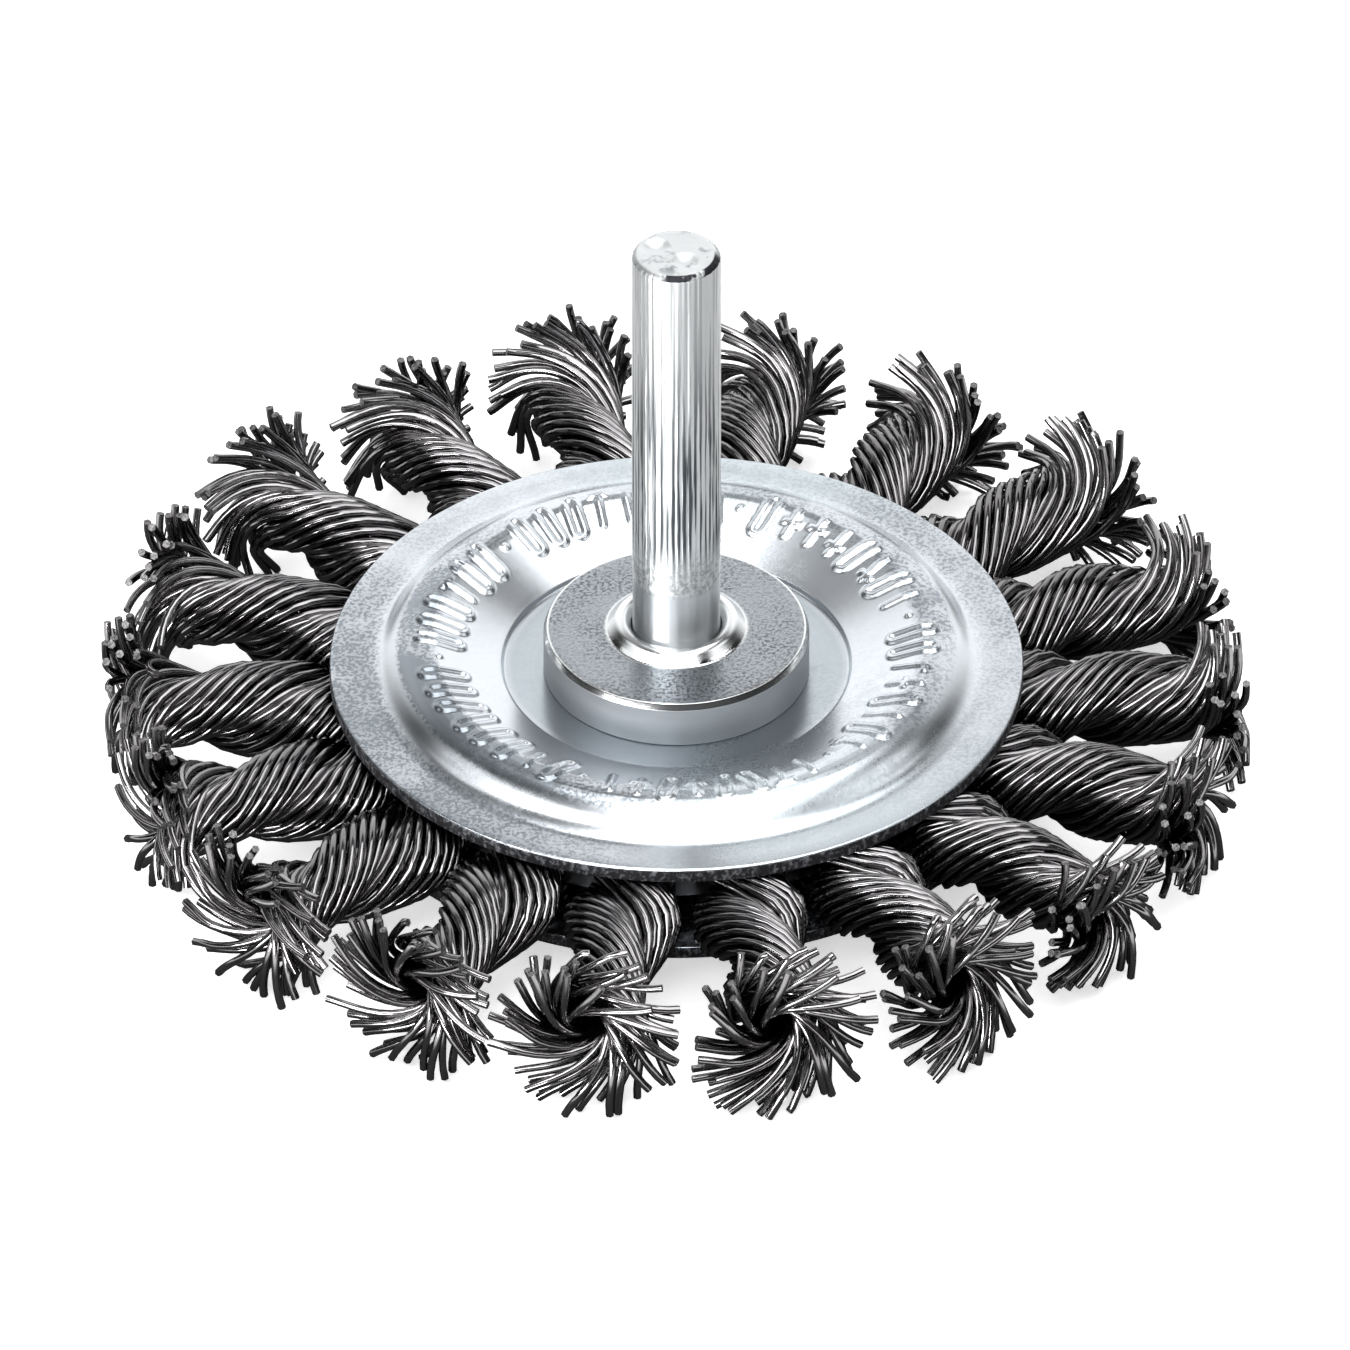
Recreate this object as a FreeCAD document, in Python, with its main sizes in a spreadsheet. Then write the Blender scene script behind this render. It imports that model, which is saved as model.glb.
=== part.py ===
# Twisted knot wheel brush on a 6 mm shank, for a drill or a straight grinder.
#
# Eighteen tufts of steel wire are hooked through a holed plate and twisted into knots. Two
# stamped face plates grip them, and the shank passes through the whole stack and is peened
# over a washer underneath. All lengths are millimetres.
#
# The wheel lies with its shank up. The frame's origin is on the wheel's axis at the height of
# the lowest wire ends, +Z runs along the shank, and the first knot points along +X.

import FreeCAD
import Part
import Sketcher
import math
import os
import re

from FreeCAD import Placement, Rotation, Vector

doc = FreeCAD.newDocument("WireWheelBrush")
sheet = doc.addObject("Spreadsheet::Sheet", "Sizes")


# Driving sizes

SIZES = [
    ("knot_count", 18, "knots round the wheel"),
    ("brush_dia", 78.0, "over the trimmed wire ends"),
    ("face_width", 12.4, "thickness of the wheel over the wire ends"),

    ("shank_dia", 6.0, "plain round shank, held in a chuck"),
    ("shank_length", 31.2, "shank above the collar"),
    ("shank_edge", 0.35, "break on the shank's top edge"),
    ("root_dia", 6.6, "thicker root of the shank, pressed into the collar"),
    ("tenon_dia", 5.0, "rivet end of the shank, through the plates"),
    ("head_dia", 9.6, "peened head at the shank's lower end"),
    ("head_height", 1.1, "peened head"),
    ("head_edge", 0.7, "slope on the peened head's edge"),

    ("collar_dia", 18.0, "drive collar on the shank"),
    ("collar_thickness", 3.35, "drive collar"),
    ("collar_edge", 0.3, "bevel on the collar's top edge"),
    ("lip_dia", 9.2, "raised lip round the shank"),
    ("lip_height", 0.8, "raised lip above the collar"),
    ("lip_round", 0.35, "rounding of the lip's outer edge"),
    ("lip_opening", 0.45, "width of the crevice between lip and shank at its mouth"),

    ("plate_overhang", 3.5, "face plates beyond the rim of the knot plate"),
    ("plate_sheet", 1.0, "thickness of the face plates' sheet"),
    ("plate_gap", 5.5, "clear height between the two flanges at the rim"),
    ("seat_drop", 0.45, "seat below the flange, on the outside"),
    ("seat_dia", 23.4, "flat seat in the middle of the plate"),
    ("seat_wall", 0.35, "short wall round the seat"),
    ("seat_bend", 0.3, "bend round the seat"),
    ("flange_width", 3.2, "flat flange at the face plates' rim"),
    ("crown_fall", 2.2, "width of the slope from the ridge down to the flange"),
    ("crown_rise", 1.95, "ridge above the flange, before it is rounded"),
    ("crown_bend", 1.6, "bend over the ridge, outside"),
    ("crease_bend", 0.6, "bend between the raised ring and the flange"),

    ("knot_plate_dia", 40.0, "plate that the tufts are hooked through"),
    ("knot_plate_thickness", 2.0, "plate that the tufts are hooked through"),
    ("tuft_hole_dia", 4.0, "one hole for each tuft"),
    ("tuft_hole_web", 1.9, "steel left between a hole and the plate's rim"),
    ("spacer_dia", 21.0, "ring on each side of the knot plate"),
    ("washer_dia", 14.0, "washer under the peened head"),
    ("washer_thickness", 1.2, "washer under the peened head"),
    ("washer_edge", 0.3, "bevel on the washer's edge"),

    ("knot_dia", 6.8, "thickness of a knot halfway out"),
    ("neck_dia", 6.0, "thickness of a knot where the wires part"),
    ("strand_waist", 0.35, "how far the twist draws in between its two strands"),
    ("knot_side_gap", 0.5, "between neighbouring knots, at the plates and at the wire ends"),
    ("lay_pitch", 15.5, "length of one full turn of a knot's left-hand twist"),
    ("end_band", 1.7, "depth of the band of cut wire ends"),
    ("eye_dia", 3.0, "hollow in the middle of the cut ends"),
    ("eye_depth", 4.6, "depth of that hollow"),
    ("ridge_depth", 0.3, "grooves between the ridges of the twisted wires"),
    ("end_depth", 1.9, "notches between bundles of cut ends"),

    ("fit_clearance", 0.05, "between the shank and each bore round it"),
    ("hole_relief", 0.45, "how far the wires turn down inside the edge of their hole"),
    ("wire_clearance", 0.1, "between the wires and the plates"),
]

for row, (alias, number, note) in enumerate(SIZES, start=1):
    sheet.set("A%d" % row, alias)
    sheet.set("B%d" % row, str(number))
    sheet.setAlias("B%d" % row, alias)
    sheet.set("C%d" % row, note)
doc.recompute()

ALIASES = [alias for alias, number, note in SIZES]


def bound(formula):
    """The formula with each size in it named as a cell of the sheet."""
    return re.sub(r"[a-z_]+", lambda word: "Sizes." + word.group(0) if word.group(0) in ALIASES
                  else word.group(0), formula)


def value(formula):
    """What a formula of sizes comes to now."""
    return float(sheet.evalExpression(bound(formula)))


# Heights that the stacked pieces share, measured from the wheel's middle plane

HALF_PLATE = "(knot_plate_thickness / 2)"
SEAT_UNDER = "(plate_gap / 2 - seat_drop)"
SEAT_FACE = "(plate_gap / 2 - seat_drop + plate_sheet)"
SPACER = "(plate_gap / 2 - seat_drop - knot_plate_thickness / 2)"
WASHER_UNDER = "(plate_gap / 2 - seat_drop + plate_sheet + washer_thickness)"
MIDDLE = "(face_width / 2)"
PLATE_RIM = "(knot_plate_dia / 2 + plate_overhang)"
CREASE = "(knot_plate_dia / 2 + plate_overhang - flange_width)"
BORE = "(tenon_dia / 2 + fit_clearance)"
COLLAR_BORE = "(root_dia / 2 + fit_clearance)"
HOLE_CIRCLE = "(knot_plate_dia / 2 - tuft_hole_web - tuft_hole_dia / 2)"


# Drawing helpers

def origin_part(body, role):
    return next(item for item in body.Origin.OriginFeatures if item.Role == role)


def body_sketch(body, name, role):
    """A sketch on one of its body's origin planes."""
    sketch = body.newObject("Sketcher::SketchObject", name)
    sketch.AttachmentSupport = (origin_part(body, role), [""])
    sketch.MapMode = "FlatFace"
    return sketch


def pin_point(sketch, shape, end, across, up):
    """Fix one point of a sketch by two formulas, where 0 puts it on an axis."""
    if across == "0":
        sketch.addConstraint(Sketcher.Constraint("PointOnObject", shape, end, -2))
    else:
        number = sketch.addConstraint(
            Sketcher.Constraint("DistanceX", -1, 1, shape, end, value(across)))
        sketch.setExpression("Constraints[%d]" % number, bound(across))
    if up == "0":
        sketch.addConstraint(Sketcher.Constraint("PointOnObject", shape, end, -1))
    else:
        number = sketch.addConstraint(
            Sketcher.Constraint("DistanceY", -1, 1, shape, end, value(up)))
        sketch.setExpression("Constraints[%d]" % number, bound(up))


def closed_profile(sketch, corners):
    """A closed outline of straight lines through corners given as pairs of formulas."""
    places = [Vector(value(across), value(up), 0) for across, up in corners]
    count = len(corners)
    for i in range(count):
        sketch.addGeometry(Part.LineSegment(places[i], places[(i + 1) % count]), False)
    for i in range(count):
        sketch.addConstraint(Sketcher.Constraint("Coincident", i, 2, (i + 1) % count, 1))
    for i, (across, up) in enumerate(corners):
        pin_point(sketch, i, 1, across, up)


def bent_line(sketch, corners, bends):
    """An open line through corners given as pairs of formulas, with a bend radius at each
    inner corner. The corners are kept as construction points and the bends are tangent arcs."""
    places = [Vector(value(across), value(up), 0) for across, up in corners]
    reach = [0.0] + [value(bend) for bend in bends] + [0.0]
    ways = [(b - a).normalize() for a, b in zip(places, places[1:])]
    cuts = [0.0]
    for i in range(1, len(places) - 1):
        cuts.append(reach[i] * math.tan(ways[i - 1].getAngle(ways[i]) / 2))
    cuts.append(0.0)
    lines = []
    for i, way in enumerate(ways):
        start = places[i] + way * cuts[i]
        end = places[i + 1] - way * cuts[i + 1]
        lines.append(sketch.addGeometry(Part.LineSegment(start, end), False))
    points = [sketch.addGeometry(Part.Point(place), True) for place in places]
    for point, (across, up) in zip(points, corners):
        pin_point(sketch, point, 1, across, up)
    sketch.addConstraint(Sketcher.Constraint("Coincident", lines[0], 1, points[0], 1))
    sketch.addConstraint(Sketcher.Constraint("Coincident", lines[-1], 2, points[-1], 1))
    for i, line in enumerate(lines):
        if i > 0:
            sketch.addConstraint(Sketcher.Constraint("PointOnObject", points[i], 1, line))
        if i < len(lines) - 1:
            sketch.addConstraint(Sketcher.Constraint("PointOnObject", points[i + 1], 1, line))
    for i in range(1, len(lines)):
        before, after = ways[i - 1], ways[i]
        left = before.cross(after).z > 0
        side = Vector(-before.y, before.x, 0) * (1 if left else -1)
        centre = places[i] - before * cuts[i] + side * reach[i]
        first = places[i] - before * cuts[i] - centre
        last = places[i] + after * cuts[i] - centre
        if not left:
            first, last = last, first
        start = math.atan2(first.y, first.x)
        stop = math.atan2(last.y, last.x)
        if stop < start:
            stop += 2 * math.pi
        circle = Part.Circle(centre, Vector(0, 0, 1), reach[i])
        arc = sketch.addGeometry(Part.ArcOfCircle(circle, start, stop), False)
        enter, leave = (1, 2) if left else (2, 1)
        sketch.addConstraint(Sketcher.Constraint("Tangent", lines[i - 1], 2, arc, enter))
        sketch.addConstraint(Sketcher.Constraint("Tangent", arc, leave, lines[i], 1))
        number = sketch.addConstraint(Sketcher.Constraint("Radius", arc, reach[i]))
        sketch.setExpression("Constraints[%d]" % number, bound(bends[i - 1]))


def centred_circle(sketch, radius):
    """A circle round the sketch's origin with its radius given as a formula."""
    shape = sketch.addGeometry(Part.Circle(Vector(), Vector(0, 0, 1), value(radius)), False)
    sketch.addConstraint(Sketcher.Constraint("Coincident", shape, 3, -1, 1))
    number = sketch.addConstraint(Sketcher.Constraint("Radius", shape, value(radius)))
    sketch.setExpression("Constraints[%d]" % number, bound(radius))


def new_body(name):
    body = doc.addObject("PartDesign::Body", name)
    body.Label = name
    return body


def turned(body, name, corners):
    """A closed outline turned about the body's Z axis."""
    sketch = body_sketch(body, name + "_outline", "XZ_Plane")
    closed_profile(sketch, corners)
    turn = body.newObject("PartDesign::Revolution", name + "_turning")
    turn.Profile = sketch
    turn.ReferenceAxis = (sketch, ["V_Axis"])
    turn.Angle = 360.0
    return turn


def set_height(item, formula):
    """Lift a piece so that its own zero lies at a height above the middle plane."""
    item.setExpression(".Placement.Base.z", bound(MIDDLE + " + " + formula))


def ring_edges(feature, radius, height):
    """The names of a feature's full-circle edges of one radius at one height of its own."""
    names = []
    for number, edge in enumerate(feature.Shape.Edges, start=1):
        curve = edge.Curve
        if not isinstance(curve, Part.Circle):
            continue
        if abs(curve.Radius - radius) < 1e-4 and abs(curve.Center.z - height) < 1e-4:
            names.append("Edge%d" % number)
    return names


# Shank: its root is pressed into the collar up to the top of the lip, and its tenon passes
# through the plates and is peened over the washer

def make_shank():
    body = new_body("shank")
    head = "head_height"
    shoulder = "(%s + %s + head_height)" % (WASHER_UNDER, SEAT_FACE)
    root = "(%s + collar_thickness + lip_height)" % shoulder
    top = "(%s + collar_thickness + shank_length)" % shoulder
    turned(body, "shank", [
        ("0", "0"),
        ("head_dia / 2 - head_edge", "0"),
        ("head_dia / 2", "head_edge"),
        ("head_dia / 2", head),
        ("tenon_dia / 2", head),
        ("tenon_dia / 2", shoulder),
        ("root_dia / 2", shoulder),
        ("root_dia / 2", root),
        ("shank_dia / 2", root),
        ("shank_dia / 2", top + " - shank_edge"),
        ("shank_dia / 2 - shank_edge", top),
        ("0", top)])
    set_height(body, "-(%s + head_height)" % WASHER_UNDER)
    return body


# Collar: turned disc with a raised lip closed in round the shank

def make_collar():
    body = new_body("collar")
    lip_top = "(collar_thickness + lip_height)"
    turn = turned(body, "collar", [
        (COLLAR_BORE, "0"),
        ("collar_dia / 2", "0"),
        ("collar_dia / 2", "collar_thickness - collar_edge"),
        ("collar_dia / 2 - collar_edge", "collar_thickness"),
        ("lip_dia / 2", "collar_thickness"),
        ("lip_dia / 2", lip_top),
        (COLLAR_BORE + " + lip_opening", lip_top),
        (COLLAR_BORE, "collar_thickness")])
    doc.recompute()
    rounding = body.newObject("PartDesign::Fillet", "lip_rounding")
    rounding.Base = (turn, ring_edges(turn, value("lip_dia / 2"), value(lip_top)))
    rounding.setExpression("Radius", bound("lip_round"))
    set_height(body, SEAT_FACE)
    return body


# Face plates: one stamping, used on both sides

def plate_section(name):
    """The plate's sheet cut through to one side of the axis: its outer face is drawn from the
    bore to the rim and thickened inwards."""
    line = doc.addObject("Sketcher::SketchObject", name + "_line")
    line.Placement = Placement(Vector(), Rotation(Vector(1, 0, 0), 90))
    seat = "plate_sheet"
    flange = "(plate_sheet + seat_drop)"
    bent_line(line, [
        (BORE, seat),
        ("seat_dia / 2", seat),
        ("seat_dia / 2 + seat_wall / 2", seat + " + seat_wall"),
        (CREASE + " - crown_fall", flange + " + crown_rise"),
        (CREASE, flange),
        (PLATE_RIM, flange)],
        ["seat_bend", "seat_bend / 2", "crown_bend", "crease_bend"])
    sheet_face = doc.addObject("Part::Offset2D", name + "_sheet")
    sheet_face.Source = line
    sheet_face.setExpression("Value", bound("-plate_sheet"))
    sheet_face.Fill = True
    sheet_face.Join = 0
    sheet_face.Mode = 0
    return sheet_face


def make_face_plate(name, facing_up):
    turn = doc.addObject("Part::Revolution", name)
    turn.Label = name
    turn.Source = plate_section(name)
    turn.Axis = Vector(0, 0, 1)
    turn.Base = Vector(0, 0, 0)
    turn.Angle = 360.0
    turn.Solid = True
    if facing_up:
        set_height(turn, SEAT_UNDER)
    else:
        turn.Placement = Placement(Vector(), Rotation(Vector(1, 0, 0), 180))
        set_height(turn, "-" + SEAT_UNDER)
    return turn


# Knot plate, with one hole for each tuft

def make_knot_plate():
    body = new_body("knot_plate")
    sketch = body_sketch(body, "knot_plate_outline", "XY_Plane")
    centred_circle(sketch, "knot_plate_dia / 2")
    centred_circle(sketch, BORE)
    disc = body.newObject("PartDesign::Pad", "knot_plate_disc")
    disc.Profile = sketch
    disc.setExpression("Length", bound("knot_plate_thickness"))
    doc.recompute()
    whole = disc.Shape.Volume
    hole_sketch = body_sketch(body, "tuft_hole_outline", "XY_Plane")
    radius = "tuft_hole_dia / 2"
    circle = Part.Circle(Vector(value(HOLE_CIRCLE), 0, 0), Vector(0, 0, 1), value(radius))
    shape = hole_sketch.addGeometry(circle, False)
    pin_point(hole_sketch, shape, 3, HOLE_CIRCLE, "0")
    number = hole_sketch.addConstraint(Sketcher.Constraint("Radius", shape, value(radius)))
    hole_sketch.setExpression("Constraints[%d]" % number, bound(radius))
    hole = body.newObject("PartDesign::Pocket", "tuft_hole")
    hole.Profile = hole_sketch
    hole.Type = "ThroughAll"
    hole.Reversed = True
    doc.recompute()
    if hole.Shape.Volume >= whole - 1e-6:
        raise RuntimeError("the tuft hole cuts nothing")
    pattern = body.newObject("PartDesign::PolarPattern", "tuft_holes")
    pattern.Originals = [hole]
    pattern.Axis = (origin_part(body, "Z_Axis"), [""])
    pattern.Angle = 360.0
    pattern.setExpression("Occurrences", bound("knot_count"))
    body.Tip = pattern
    set_height(body, "-" + HALF_PLATE)
    return body


# Spacers and washer

def make_ring(name, outer, thickness, height):
    body = new_body(name)
    sketch = body_sketch(body, name + "_outline", "XY_Plane")
    centred_circle(sketch, outer)
    centred_circle(sketch, BORE)
    pad = body.newObject("PartDesign::Pad", name + "_disc")
    pad.Profile = sketch
    pad.setExpression("Length", bound(thickness))
    set_height(body, height)
    return body


def make_washer():
    body = new_body("rivet_washer")
    turned(body, "rivet_washer", [
        (BORE, "0"),
        ("washer_dia / 2 - washer_edge", "0"),
        ("washer_dia / 2", "washer_edge"),
        ("washer_dia / 2", "washer_thickness"),
        (BORE, "washer_thickness")])
    set_height(body, "-" + WASHER_UNDER)
    return body


# Knots: the twisted tufts of wire
#
# A knot runs out along +X from the plate. Its skin is a row of rings of points: even points lie
# on the ridges of the twist and odd points in the grooves, and every ring is turned on from the
# last by the lay. The twist is left-handed. Ridges are a multiple of four, so that one points
# straight down at the wire ends and the wheel rests on it.

RIDGES = 12
STRANDS = 2


def knot_ring(across, up, groove, waist, squareness, turn, place):
    """One ring of a knot's skin. place gives the distance out along X of a point from its Y."""
    ring = []
    for k in range(2 * RIDGES):
        around = math.pi * k / RIDGES
        angle = around + turn
        c, s = math.cos(angle), math.sin(angle)
        reach = (abs(c / across) ** squareness + abs(s / up) ** squareness) ** (-1 / squareness)
        reach -= waist * math.cos(STRANDS * around / 2) ** 4
        if k % 2:
            reach -= groove
        y, z = reach * c, reach * s
        ring.append(Vector(place(y), y, z))
    return ring


def facets(rings):
    """Triangles between each ring and the next, and a flat face over both ends."""
    faces = []
    for inner, outer in zip(rings, rings[1:]):
        count = len(inner)
        for k in range(count):
            a, b = inner[k], inner[(k + 1) % count]
            c, d = outer[(k + 1) % count], outer[k]
            faces.append(Part.Face(Part.makePolygon([a, b, c, a])))
            faces.append(Part.Face(Part.makePolygon([a, c, d, a])))
    for ring in (rings[0], rings[-1]):
        faces.append(Part.Face(Part.makePolygon(ring + [ring[0]])))
    shell = Part.makeShell(faces)
    shell.sewShape()
    solid = Part.makeSolid(shell)
    if solid.Volume < 0:
        solid.reverse()
    return solid


def knot_body():
    """The twisted part of a knot, from the knot plate's rim to the cut ends and their eye."""
    tip = value("brush_dia / 2")
    rim = value(PLATE_RIM)
    root = value("knot_plate_dia / 2 + wire_clearance * 2")
    free = tip - rim
    grip = value("plate_gap / 2 - wire_clearance")
    middle = value("knot_dia / 2")
    neck = value("neck_dia / 2")
    half_face = value("face_width / 2")
    band = value("end_band")
    groove = value("ridge_depth")
    waist = value("strand_waist")
    notch = value("end_depth")
    half_angle = math.pi / value("knot_count")
    side_gap = value("knot_side_gap / 2")
    eye = value("eye_dia / 2")
    depth = value("eye_depth")
    pitch = value("lay_pitch")

    def room(x):
        return x * math.sin(half_angle) - side_gap

    def lay(x):
        return 2 * math.pi * (tip - band - x) / pitch

    def skin(x, across, up, deep, drawn_in, squareness):
        return knot_ring(across, up, deep, drawn_in, squareness, lay(x), lambda y: x)

    tip_across = room(tip - band)
    wide = room(rim)
    outside = [
        skin(root, room(root), grip, groove / 2, 0, 4.0),
        skin(rim, wide, grip, groove / 2, 0, 3.2),
    ]
    for share, breadth, drawn_in in ((0.12, 1.0, 0.3), (0.33, 0.5, 1.0), (0.54, 0.0, 1.0)):
        x = rim + share * free
        across = middle + (wide - middle) * breadth
        up = middle + (grip - middle) * breadth ** 2
        outside.append(skin(x, across, up, groove, waist * drawn_in, 2.0 + breadth ** 4 / 2))
    for share, flare in ((0.69, 0.05), (0.81, 0.46)):
        across = neck + (tip_across - neck) * flare
        up = neck + (half_face - neck) * flare
        deep = groove + (notch - groove) * flare
        outside.append(skin(rim + share * free, across, up, deep, waist * (1 - flare), 2.0))
    outside.append(skin(tip - band, tip_across, half_face, notch, 0, 2.0))

    def tread(back):
        return lambda y: math.sqrt(tip ** 2 - y ** 2) - back

    inside = [
        knot_ring(tip_across, half_face, notch, 0, 2.0, 0.0, tread(0)),
        knot_ring(tip_across / 2, half_face / 2, notch / 2, 0, 2.0, 0.5, tread(band / 2)),
        skin(tip - depth, eye, eye, groove / 2, 0, 2.0),
    ]
    return facets(outside + inside)


def fold_ring(centre, way, across, thick):
    """One flat six-sided ring of the folded tuft, square to the way that its wires run."""
    normal = Vector(0, 1, 0).cross(way)
    corners = [(1, 0), (0.55, 0.83), (-0.55, 0.83), (-1, 0), (-0.55, -0.83), (0.55, -0.83)]
    return [centre + Vector(0, across * y, 0) + normal * (thick * z) for y, z in corners]


def knot_fold():
    """The tuft's hairpin through its hole: out along both faces of the knot plate."""
    clearance = value("wire_clearance")
    half_plate = value(HALF_PLATE)
    plate_edge = value("knot_plate_dia / 2")
    hole = value("tuft_hole_dia / 2")
    hole_centre = value(HOLE_CIRCLE)
    bend = hole - value("hole_relief")
    leg = value("(plate_gap - knot_plate_thickness) / 4 - wire_clearance - ridge_depth / 4")
    high = half_plate + clearance + leg
    half_angle = math.pi / value("knot_count")

    def room(x):
        return x * math.sin(half_angle) - value("knot_side_gap")

    in_hole = hole - clearance
    turns = [
        (1.0, room(hole_centre), leg),
        (0.6, in_hole - clearance * 3, (leg + in_hole) / 2),
        (0.0, in_hole, in_hole),
    ]
    inwards = Vector(-1, 0, 0)
    upper = [
        fold_ring(Vector(plate_edge + leg, 0, high), inwards, room(plate_edge), leg),
        fold_ring(Vector(plate_edge, 0, high), inwards, room(plate_edge), leg),
    ]
    for share, across, thick in turns:
        angle = math.pi / 2 * share
        centre = Vector(hole_centre + bend - bend * math.cos(angle), 0, high * math.sin(angle))
        way = Vector(-math.sin(angle), 0, -math.cos(angle))
        upper.append(fold_ring(centre, way, across, thick))
    lower = []
    for ring in reversed(upper[:-1]):
        lower.append([Vector(p.x, p.y, -p.z) for p in ring])
    return facets(upper + lower)


def make_knots():
    """One knot turned on round the wheel as often as the knot plate has holes."""
    shape = knot_body().fuse(knot_fold())
    if len(shape.Solids) != 1:
        raise RuntimeError("the knot is not one solid")
    shape = shape.Solids[0]
    count = int(value("knot_count"))
    knots = []
    for i in range(count):
        name = "knot_%02d" % (i + 1)
        knot = doc.addObject("Part::Feature", name)
        knot.Label = name
        knot.Shape = shape
        turn = Rotation(Vector(0, 0, 1), 360.0 * i / count)
        knot.Placement = Placement(Vector(0, 0, value(MIDDLE)), turn)
        knots.append(knot)
    return knots


# Assembly

pieces = [
    make_shank(),
    make_collar(),
    make_face_plate("upper_face_plate", True),
    make_face_plate("lower_face_plate", False),
    make_ring("upper_spacer", "spacer_dia / 2", SPACER, HALF_PLATE),
    make_ring("lower_spacer", "spacer_dia / 2", SPACER, "-" + SEAT_UNDER),
    make_knot_plate(),
    make_washer(),
]
pieces += make_knots()
doc.recompute()

for item in doc.Objects:
    if "Invalid" in item.State or "Error" in item.State:
        raise RuntimeError("%s did not build: %s" % (item.Label, item.State))
for piece in pieces:
    if piece.Shape.isNull() or not piece.Shape.isValid():
        raise RuntimeError("%s has no sound shape" % piece.Label)
    if len(piece.Shape.Solids) != 1:
        raise RuntimeError("%s is not one solid" % piece.Label)

os.makedirs("parts", exist_ok=True)
for piece in pieces:
    piece.Shape.exportStep("parts/%s.step" % piece.Label)
print("%d pieces" % len(pieces))
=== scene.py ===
import math

import bpy
from mathutils import Matrix, Vector


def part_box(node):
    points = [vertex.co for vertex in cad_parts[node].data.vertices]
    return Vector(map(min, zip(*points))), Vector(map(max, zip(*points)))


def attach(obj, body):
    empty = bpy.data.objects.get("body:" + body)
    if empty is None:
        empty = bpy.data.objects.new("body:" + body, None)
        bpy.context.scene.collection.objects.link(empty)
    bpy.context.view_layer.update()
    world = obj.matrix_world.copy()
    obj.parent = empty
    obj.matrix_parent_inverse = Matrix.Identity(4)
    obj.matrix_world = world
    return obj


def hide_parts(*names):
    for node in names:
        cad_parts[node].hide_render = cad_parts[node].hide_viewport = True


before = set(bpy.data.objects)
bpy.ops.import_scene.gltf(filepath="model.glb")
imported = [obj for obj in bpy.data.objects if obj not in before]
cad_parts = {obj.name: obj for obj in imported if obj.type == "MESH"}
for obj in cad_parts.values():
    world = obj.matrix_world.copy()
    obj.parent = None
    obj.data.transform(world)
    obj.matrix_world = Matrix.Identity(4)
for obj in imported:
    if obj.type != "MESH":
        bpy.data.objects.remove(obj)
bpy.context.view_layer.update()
print("frame loaded:", len(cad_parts), "nodes")

mm = 0.001
middleHeight = (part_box("knot_plate")[0].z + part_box("knot_plate")[1].z) / 2


# nodes written as expressions

class Signal:  # one output socket; sums on it add Math nodes
    def __init__(self, bench, socket):
        self.bench = bench
        self.socket = socket

    def maths(self, operation, *values):
        return self.bench.add("ShaderNodeMath", {"operation": operation}, dict(enumerate(values)))

    def __add__(self, other):
        return self.maths("ADD", self, other)

    def __radd__(self, other):
        return self.maths("ADD", other, self)

    def __sub__(self, other):
        return self.maths("SUBTRACT", self, other)

    def __rsub__(self, other):
        return self.maths("SUBTRACT", other, self)

    def __mul__(self, other):
        return self.maths("MULTIPLY", self, other)

    def __rmul__(self, other):
        return self.maths("MULTIPLY", other, self)

    def __truediv__(self, other):
        return self.maths("DIVIDE", self, other)

    def __rtruediv__(self, other):
        return self.maths("DIVIDE", other, self)

    def __pow__(self, other):
        return self.maths("POWER", self, other)

    def __mod__(self, other):
        return self.maths("FLOORED_MODULO", self, other)

    def __neg__(self):
        return self.maths("MULTIPLY", self, -1.0)

    def __abs__(self):
        return self.maths("ABSOLUTE", self)

    def __gt__(self, other):
        return self.maths("GREATER_THAN", self, other)

    def __lt__(self, other):
        return self.maths("LESS_THAN", self, other)

    def floor(self):
        return self.maths("FLOOR", self)

    def root(self):
        return self.maths("SQRT", self)

    def sin(self):
        return self.maths("SINE", self)

    def cos(self):
        return self.maths("COSINE", self)

    def least(self, other):
        return self.maths("MINIMUM", self, other)

    def most(self, other):
        return self.maths("MAXIMUM", self, other)

    def between(self, low, high):
        return self.most(low).least(high)

    def ramp(self, start, end, low=0.0, high=1.0):
        return self.bench.add("ShaderNodeMapRange", {"interpolation_type": "SMOOTHSTEP", "clamp": True},
                              {"Value": self, "From Min": start, "From Max": end,
                               "To Min": low, "To Max": high})


class Bench:  # the node tree that is being wired
    def __init__(self, tree):
        self.tree = tree

    def add(self, kind, settings=None, sockets=None, output=0):
        node = self.tree.nodes.new(kind)
        for name, value in (settings or {}).items():
            setattr(node, name, value)
        live = [s for s in node.inputs if s.enabled]
        for key, value in (sockets or {}).items():
            socket = live[key] if isinstance(key, int) else next(s for s in live if s.name == key)
            if isinstance(value, Signal):
                self.tree.links.new(value.socket, socket)
            else:
                socket.default_value = value
        outs = [s for s in node.outputs if s.enabled]
        if not outs:
            return node
        found = outs[output] if isinstance(output, int) else next(s for s in outs if s.name == output)
        return Signal(self, found)

    def other(self, signal, name):  # another output of the same node
        return Signal(self, signal.socket.node.outputs[name])

    def split(self, vector):
        x = self.add("ShaderNodeSeparateXYZ", {}, {0: vector})
        return x, self.other(x, "Y"), self.other(x, "Z")

    def vector(self, x, y, z):
        return self.add("ShaderNodeCombineXYZ", {}, {0: x, 1: y, 2: z})

    def blendColour(self, factor, first, second):
        return self.add("ShaderNodeMix", {"data_type": "RGBA"},
                        {"Factor": factor, "A": first, "B": second}, "Result")

    def noise(self, vector, scale, detail=3.0, roughness=0.5):
        return self.add("ShaderNodeTexNoise", {}, {"Vector": vector, "Scale": scale, "Detail": detail,
                                                   "Roughness": roughness}, "Fac")


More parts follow.
